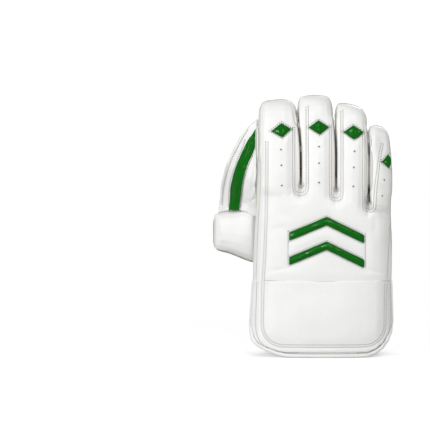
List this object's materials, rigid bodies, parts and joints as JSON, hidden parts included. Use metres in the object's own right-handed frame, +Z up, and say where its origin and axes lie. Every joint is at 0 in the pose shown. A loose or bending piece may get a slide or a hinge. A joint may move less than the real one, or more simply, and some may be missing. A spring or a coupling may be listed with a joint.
{
  "type": "wicketkeeping glove",
  "caption": "Right-hand wicketkeeping glove with a padded leather back, pimpled rubber palm, catching web and flared cuff, standing on its cuff.",
  "frame": {"origin": "on the surface that the glove stands on, under the middle of its box", "axes": "+Z up along the fingers, -Y the way the back of the hand faces, +Y the way the palm faces, -X towards the thumb"},
  "size_m": [0.2158, 0.095, 0.3109],
  "materials": {
    "white_leather": "soft white leather with a fine grain",
    "cuff_leather": "padded white leather",
    "binding_leather": "rolled white leather",
    "pimpled_rubber": "matte pimpled rubber",
    "green_patent": "glossy padded patent"
  },
  "bodies": {
    "root": {"back_shell": "white_leather", "palm_shell": "pimpled_rubber", "thumb_back": "white_leather", "thumb_palm": "pimpled_rubber", "web_back": "white_leather", "web_palm": "pimpled_rubber", "web_stripe": "green_patent", "cuff_back": "cuff_leather", "cuff_palm": "cuff_leather", "binding_back": "binding_leather", "binding_palm": "binding_leather", "diamond_index": "green_patent", "diamond_middle": "green_patent", "diamond_ring": "green_patent", "diamond_little": "green_patent", "chevron_upper": "green_patent", "chevron_lower": "green_patent"}
  },
  "joints": []
}
